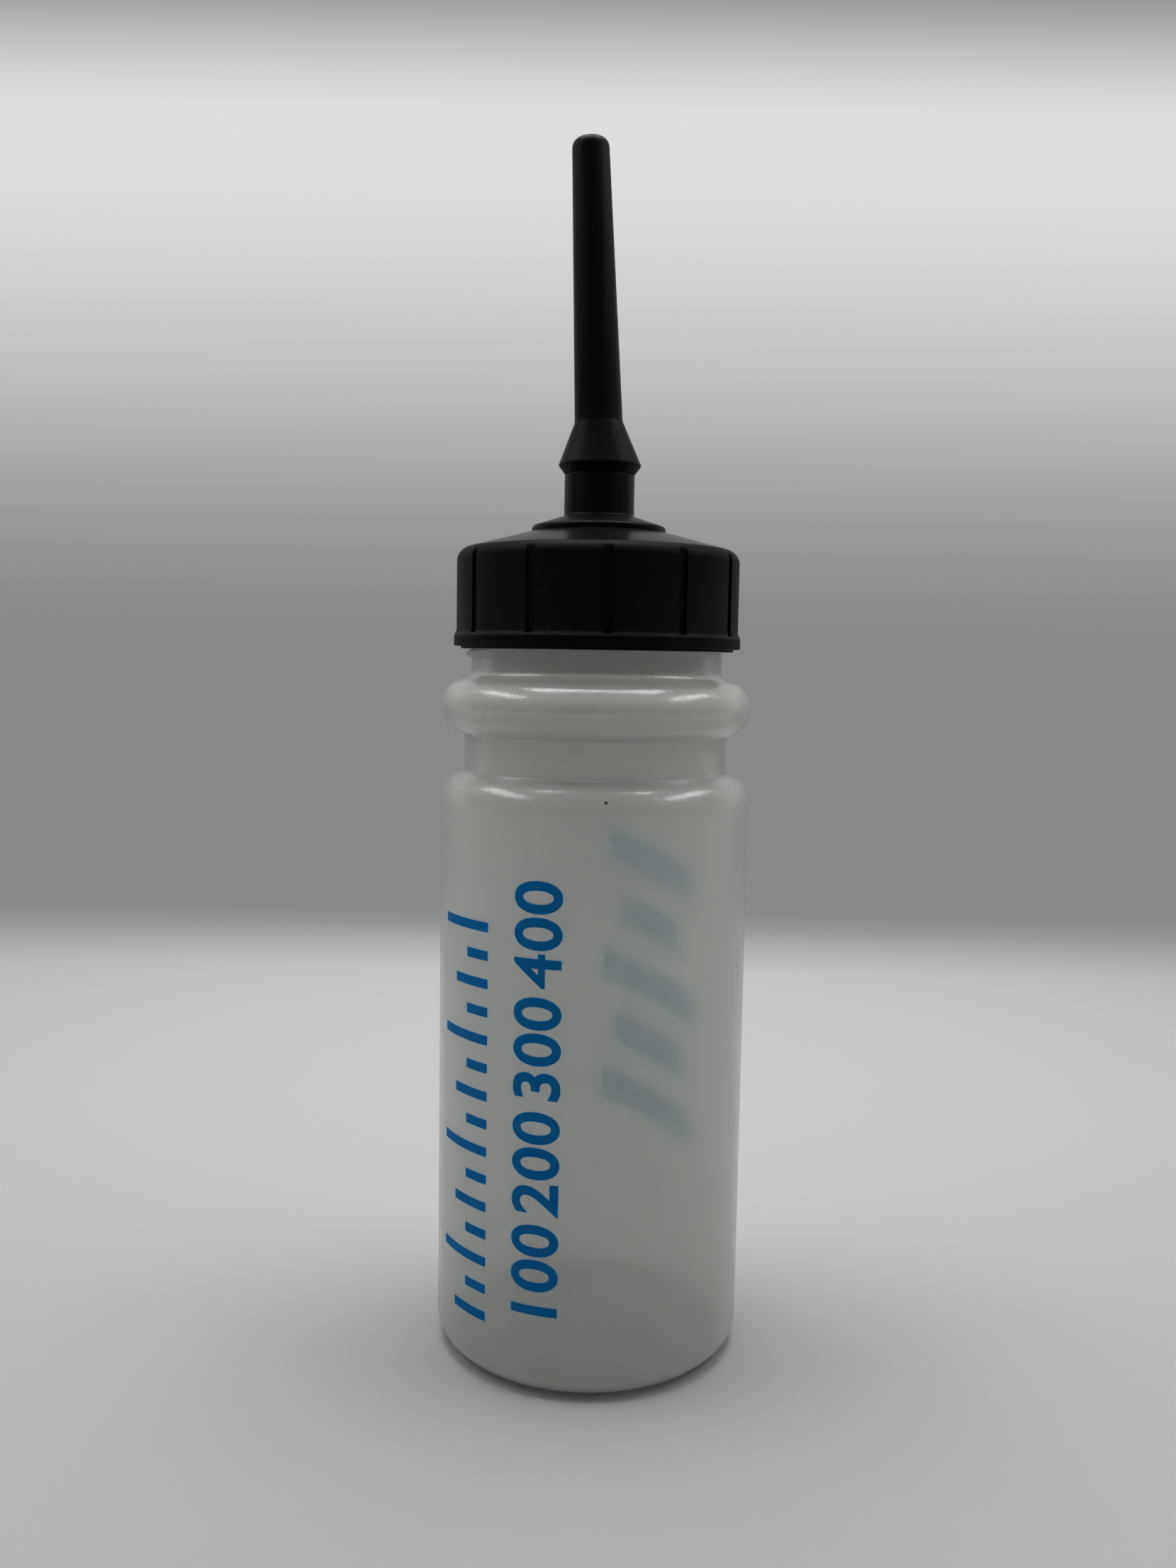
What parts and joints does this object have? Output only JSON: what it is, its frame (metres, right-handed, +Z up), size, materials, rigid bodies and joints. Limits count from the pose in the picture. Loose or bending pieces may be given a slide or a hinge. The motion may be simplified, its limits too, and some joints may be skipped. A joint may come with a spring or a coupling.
{
  "type": "squeeze water bottle",
  "caption": "Round see-through squeeze bottle with a finger groove, a grip ring, a black screw cap and a long straw spout that pulls up to open.",
  "frame": {"origin": "centre of the bottle's base, on the table that it stands on", "axes": "+Z up the bottle's axis towards the straw's tip; -Y is the printed front; the straw leans a little towards -X"},
  "size_m": [0.073, 0.073, 0.2829],
  "materials": {
    "bottle_plastic": "natural low-density polyethylene, milky and see-through, satin gloss",
    "cap_plastic": "black polypropylene, fine moulded grain on the skirt, smooth cone",
    "gasket_rubber": "soft white thermoplastic rubber",
    "spout_plastic": "black polypropylene, smooth satin",
    "seal_rubber": "black nitrile rubber",
    "straw_plastic": "black low-density polyethylene, smooth satin"
  },
  "bodies": {
    "bottle": {"bottle_body": "bottle_plastic"},
    "gasket": {"cap_gasket": "gasket_rubber"},
    "cap": {"screw_cap": "cap_plastic", "spout_base": "spout_plastic"},
    "seal": {"spout_seal": "seal_rubber"},
    "straw": {"straw_spout": "straw_plastic"}
  },
  "joints": [
    {"name": "cap_lift", "type": "slide", "parent": "bottle", "child": "gasket", "axis": [0, 0, 1], "range_m": [0, 0.021]},
    {"name": "cap_turn", "type": "hinge", "parent": "gasket", "child": "cap", "pos_m": [0, 0, 0.1867], "axis": [0, 0, 1], "range_deg": [0, 1890]},
    {"name": "straw_pull", "type": "slide", "parent": "cap", "child": "seal", "axis": [0, 0, 1], "range_m": [0, 0.007]},
    {"name": "straw_swivel", "type": "hinge", "parent": "seal", "child": "straw", "pos_m": [0, 0, 0.1955], "axis": [0, 0, 1], "continuous": true}
  ],
  "couplings": [
    {"joint": "cap_lift", "follows": "cap_turn", "m_per_rad": 0.00063661}
  ]
}
